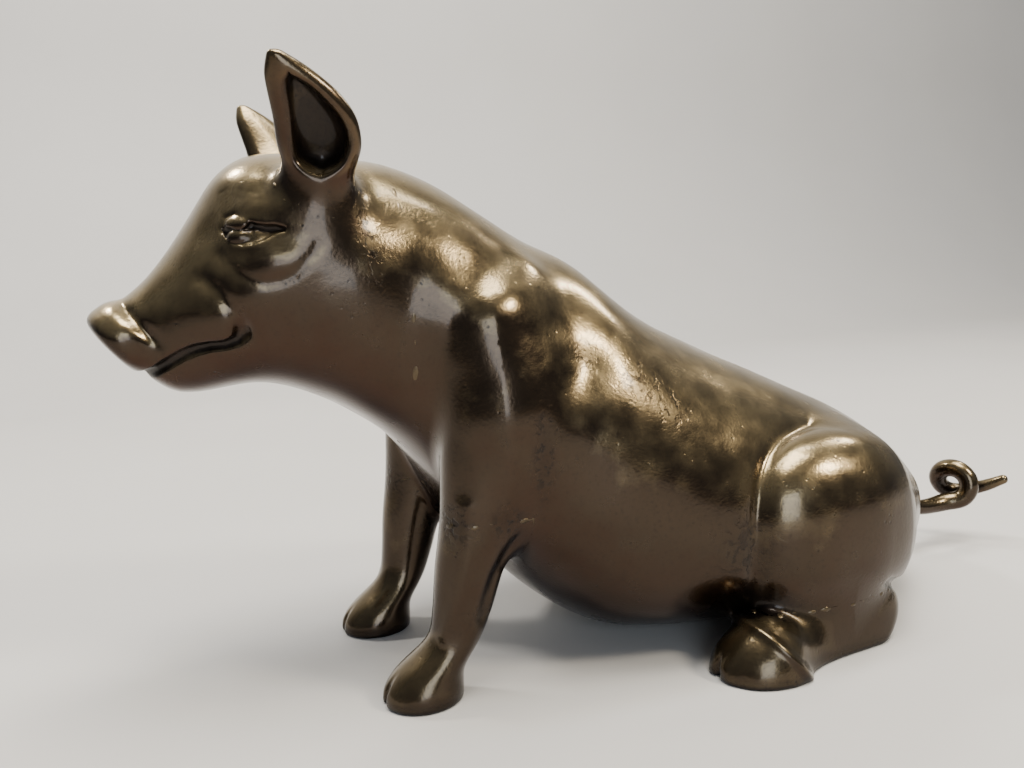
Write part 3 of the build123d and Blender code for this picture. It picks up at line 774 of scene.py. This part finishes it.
def rod_through(points, thickness):
    """Points and thickness closely along a smooth rod through a few points."""
    points = np.array(points)
    knots = np.r_[0, np.cumsum(np.linalg.norm(np.diff(points, axis=0), axis=1))]
    gaps = np.diff(knots)
    count = len(points)
    system, right = np.zeros((count, count)), np.zeros((count, 3))
    system[0, 0] = system[-1, -1] = 1
    right[0], right[-1] = (points[1] - points[0]) / gaps[0], (points[-1] - points[-2]) / gaps[-1]
    for i in range(1, count - 1):
        before, after = gaps[i - 1], gaps[i]
        system[i, i - 1:i + 2] = after, 2 * (before + after), before
        slope_in, slope_out = (points[i] - points[i - 1]) / before, (points[i + 1] - points[i]) / after
        right[i] = 3 * (after * slope_in + before * slope_out)
    slopes = np.linalg.solve(system, right)
    where = np.arange(0, knots[-1], 0.35)
    i = np.clip(np.searchsorted(knots, where, side="right") - 1, 0, count - 2)
    t = ((where - knots[i]) / gaps[i])[:, None]
    line = (points[i] * (1 + 2 * t) * (1 - t) ** 2 + points[i + 1] * t * t * (3 - 2 * t)
            + gaps[i][:, None] * (slopes[i] * t * (1 - t) ** 2 - slopes[i + 1] * t * t * (1 - t)))
    return line, np.interp(where / knots[-1], *zip(*thickness))


# Half thickness of the rod by the share of its length
tail_taper = [(0, 2.3), (0.28, 2.4), (0.42, 2.9), (0.70, 2.8), (0.86, 2.2), (1, 1.5)]
tail_line, tail_radius = rod_through(tail_points, tail_taper)


def tail_form(p):
    """Distance from the skin of the rod."""
    nearest = np.full(len(p), 1e9)
    for place, radius in zip(tail_line, tail_radius):
        nearest = np.minimum(nearest, ((p - place) ** 2).sum(axis=1) ** 0.5 - radius)
    return nearest - 0.06 * ripple(p, 7, 5)


low, high = box_of("tail")
tail = casting("tail_rod", tail_form, low - 2, high + 2, 0.55)
place_piece(tail, "tail", cast_patina_and_painted_light)


# Braze filler
# Beads of brass filler, run into each joint with a torch and left lumpy.
# They are duller and darker than the castings, and lie nearly flush with them.
# The same painted light and shade on the filler, in duller and darker colours.
braze_patina_and_painted_light = patina_with_painted_light("braze_patina_and_painted_light", top_light_and_worn_gold=(0.25, 0.19, 0.10, 1), brown=(0.038, 0.026, 0.017, 1),
                      underside_shade_red=(0.030, 0.015, 0.009, 1), roughness=0.32, pitting=1.4)
bead_sink, bead_lumps = 0.10, 0.25


def bead(name, seam, size, node):
    """Lumpy bead along the line where two forms meet."""
    low, high = box_of(node)

    def field(p):
        """Distance from the skin of the bead."""
        first, second = seam(p)
        return np.hypot(first + size + bead_sink, second) - size * (1 + bead_lumps * ripple(p, 5, 6))

    made = casting(name, field, low - size - 1.5, high + size + 1.5, 0.4)
    place_piece(made, node, braze_patina_and_painted_light)


def tail_seam(p):
    """Distances from the rod where it enters the rump, and from the rump."""
    return np.hypot(p[:, 1], p[:, 2] - tail_root[2]) - 2.6, p[:, 0] - tail_root[0]


limb_seams = [
    ("ear", lambda p: (head_form(p), ear_share(p)), 0.7),
    ("foreleg", lambda p: (body_form(p), foreleg_share(p)), 0.8),
    ("hind_leg", lambda p: (body_form(p), hind_share(p)), 0.8),
]
bead("neck_bead", lambda p: (skin(p), p[:, 0] - neck), 0.8, "neck_braze")
for side in ("left", "right"):
    for limb, seam, size in limb_seams:
        bead(limb + "_bead_" + side, seam, size, limb + "_" + side + "_braze")
bead("tail_bead", tail_seam, 0.9, "tail_braze")


# Studio
# A plain pale floor that sweeps up behind the figure, under soft panels: a warm lamp and a ceiling light,
# two small lamps from behind, a wash on the backdrop and a cool window beside the camera.
def panel(name, place, aim, size, watts, colour):
    """Soft rectangular light that looks at a point."""
    light = bpy.data.lights.new(name, "AREA")
    light.shape = "RECTANGLE"
    light.size, light.size_y = size
    light.energy, light.color = watts, colour
    made = bpy.data.objects.new(name, light)
    bpy.context.collection.objects.link(made)
    back = unit(np.array(place, float) - aim)
    right = unit(np.cross((0, 0, 1), back))
    axes = np.stack([right, np.cross(back, right), back], axis=1)
    made.matrix_world = Matrix([[*row, at] for row, at in zip(axes, place)] + [[0, 0, 0, 1]])


# Edge of the floor and backdrop, seen from the side: level, round a bend and straight up
half_floor, bend_start, bend_radius, backdrop_height = 3.0, -0.55, 0.35, 2.4
sweep = [(half_floor, 0.0), (bend_start, 0.0)]
for turn in np.linspace(0, np.pi / 2, 24)[1:]:
    sweep.append((bend_start - bend_radius * np.sin(turn), bend_radius * (1 - np.cos(turn))))
sweep.append((bend_start - bend_radius, backdrop_height))
floor_corners = [(x, float(y), float(z)) for y, z in sweep for x in (-half_floor, half_floor)]
floor_faces = [(2 * i, 2 * i + 2, 2 * i + 3, 2 * i + 1) for i in range(len(sweep) - 1)]
floor_mesh = bpy.data.meshes.new("floor")
floor_mesh.from_pydata(floor_corners, [], floor_faces)
floor_mesh.shade_smooth()
floor = bpy.data.objects.new("floor", floor_mesh)
bpy.context.collection.objects.link(floor)
floor_paint = bpy.data.materials.new("floor_paint")
floor_paint.use_nodes = True
tree = floor_paint.node_tree
place = add(tree, "ShaderNodeTexCoord").outputs["Object"]
cloud = add(tree, "ShaderNodeTexNoise", {"Vector": place, "Scale": 9, "Detail": 4})
tone = mixed(tree, cloud.outputs["Fac"], (0.60, 0.585, 0.56, 1), (0.65, 0.635, 0.61, 1))
tree.links.new(tone, tree.nodes["Principled BSDF"].inputs["Base Color"])
tree.nodes["Principled BSDF"].inputs["Roughness"].default_value = 0.6
floor_mesh.materials.append(floor_paint)

centre = (0.02, 0, 0.06)
panel("lamp", (-0.42, 0.50, 0.58), centre, (0.16, 0.16), 5, (1.0, 0.90, 0.74))
panel("ceiling", (-0.05, 0.20, 1.10), centre, (0.6, 0.4), 13, (1.0, 0.94, 0.84))
panel("brow_lamp", (0.40, -0.50, 0.75), centre, (0.12, 0.12), 4, (1.0, 0.95, 0.88))
panel("side_lamp", (-0.62, -0.15, 0.62), centre, (0.12, 0.12), 1.3, (1.0, 0.92, 0.80))
panel("wall_wash", (-0.10, -0.15, 1.35), (-0.10, -0.95, 0.45), (1.2, 0.3), 12, (1.0, 0.98, 0.95))
panel("window", (0.30, 1.15, 0.30), centre, (0.50, 0.60), 6, (0.78, 0.88, 1.0))
world = bpy.data.worlds.new("world")
world.use_nodes = True
world.node_tree.nodes["Background"].inputs["Color"].default_value = (0.80, 0.84, 0.90, 1)
world.node_tree.nodes["Background"].inputs["Strength"].default_value = 0.22
bpy.context.scene.world = world

# Camera at the photograph's viewing angle
lens = bpy.data.cameras.new("camera")
lens.lens, lens.sensor_width, lens.clip_start = 31.64, 36.0, 0.01
camera = bpy.data.objects.new("camera", lens)
bpy.context.collection.objects.link(camera)
camera.matrix_world = Matrix((
    (-0.9260, -0.0976, 0.3646, 0.1189),
    (0.3741, -0.1090, 0.9210, 0.2128),
    (-0.0501, 0.9892, 0.1374, 0.0985),
    (0, 0, 0, 1),
))
bpy.context.scene.camera = camera
